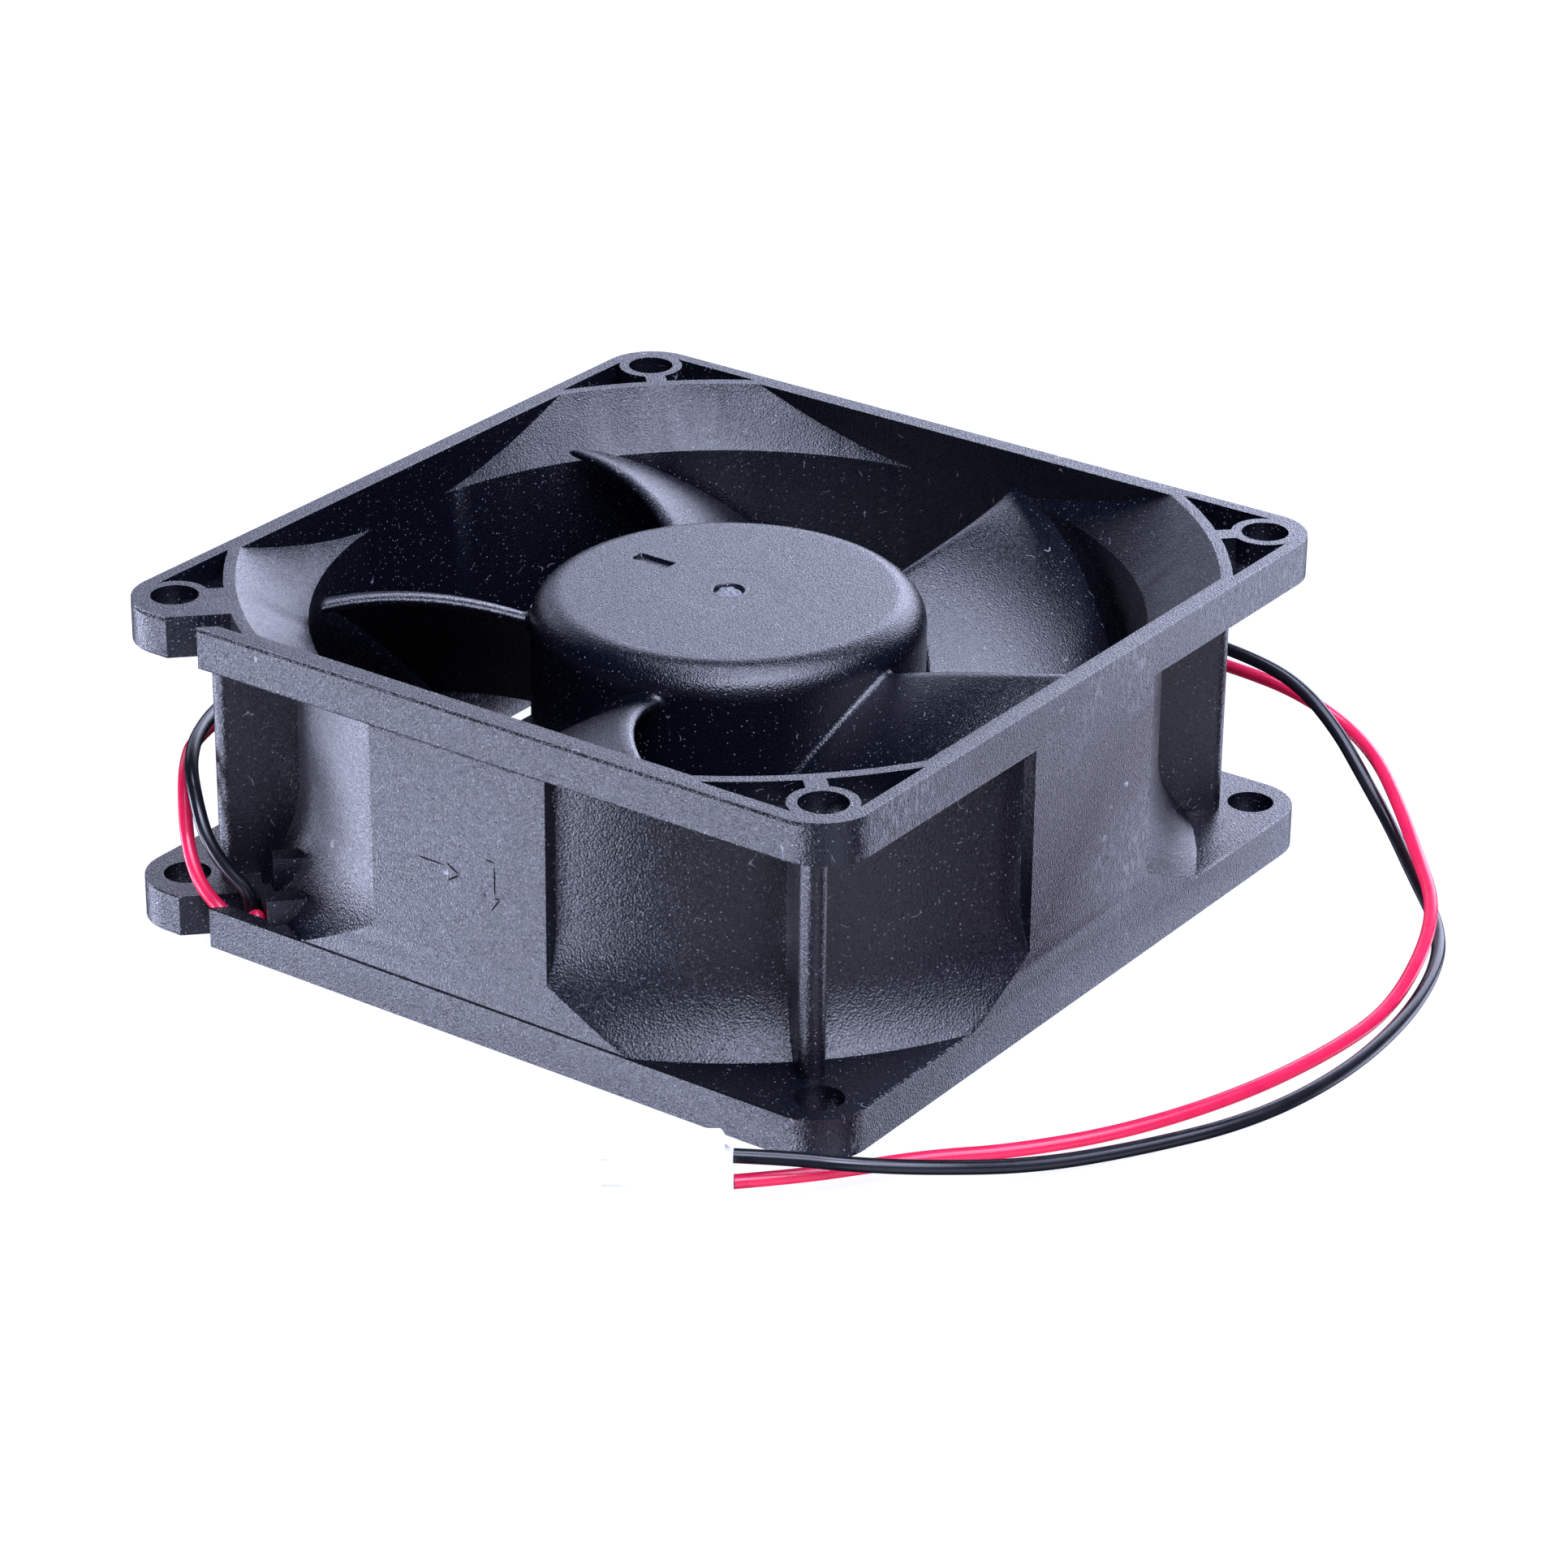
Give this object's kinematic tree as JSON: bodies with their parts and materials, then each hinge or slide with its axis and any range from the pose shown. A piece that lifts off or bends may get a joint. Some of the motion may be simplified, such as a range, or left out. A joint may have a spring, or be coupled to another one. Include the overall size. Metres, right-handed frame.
{
  "type": "axial cooling fan",
  "caption": "Square axial cooling fan with a moulded frame, a turning impeller on ball bearings, and two leads that end in a plug.",
  "frame": {"origin": "centre of the outlet face, on the shaft's axis", "axes": "+Z along the shaft from the outlet to the inlet, +X and +Y square to the frame's sides"},
  "size_m": [0.1125, 0.1041, 0.032],
  "materials": {
    "frame_plastic": "moulded, fine grain",
    "impeller_plastic": "moulded, fine grain",
    "drawn_steel": "drawn, zinc plated",
    "ferrite": "bonded ferrite, matte",
    "ground_steel": "ground",
    "brass": "turned",
    "spring_steel": "blued",
    "clip_plastic": "moulded",
    "core_steel": "stamped laminations",
    "insulator_plastic": "moulded",
    "copper": "enamelled wire, wound",
    "board_laminate": "solder mask",
    "chip_plastic": "moulded",
    "chip_ceramic": "fired",
    "black_pvc": "extruded",
    "red_pvc": "extruded",
    "white_nylon": "moulded",
    "tinned_brass": "tinned"
  },
  "bodies": {
    "frame": {"housing": "frame_plastic", "bearing_tube": "brass", "lower_outer_race": "ground_steel", "upper_outer_race": "ground_steel", "stator_core": "core_steel", "upper_insulator": "insulator_plastic", "lower_insulator": "insulator_plastic", "stator_coils": "copper", "winding_pins": "tinned_brass", "circuit_board": "board_laminate", "hall_sensor": "chip_plastic", "drive_chip": "chip_plastic", "capacitor": "chip_ceramic", "resistors": "chip_plastic", "black_lead_held": "black_pvc", "red_lead_held": "red_pvc", "black_lead": "black_pvc", "red_lead": "red_pvc", "plug_housing": "white_nylon", "crimp_terminals": "tinned_brass"},
    "rotor": {"impeller": "impeller_plastic", "rotor_yoke": "drawn_steel", "ring_magnet": "ferrite", "shaft": "ground_steel", "shaft_boss": "brass", "retaining_clip": "clip_plastic", "spring_washer": "spring_steel", "lower_inner_race": "ground_steel", "upper_inner_race": "ground_steel"},
    "lower_ball_set": {"lower_balls": "ground_steel", "lower_ball_cage": "drawn_steel"},
    "upper_ball_set": {"upper_balls": "ground_steel", "upper_ball_cage": "drawn_steel"}
  },
  "joints": [
    {"name": "rotor_spin", "type": "hinge", "parent": "frame", "child": "rotor", "pos_m": [0, 0, 0.0128], "axis": [0, 0, 1], "continuous": true},
    {"name": "lower_balls_roll", "type": "hinge", "parent": "frame", "child": "lower_ball_set", "pos_m": [0, 0, 0.0057], "axis": [0, 0, 1], "continuous": true},
    {"name": "upper_balls_roll", "type": "hinge", "parent": "frame", "child": "upper_ball_set", "pos_m": [0, 0, 0.0201], "axis": [0, 0, 1], "continuous": true}
  ],
  "couplings": [
    {"joint": "lower_balls_roll", "follows": "rotor_spin", "ratio": 0.3909},
    {"joint": "upper_balls_roll", "follows": "rotor_spin", "ratio": 0.3909}
  ]
}
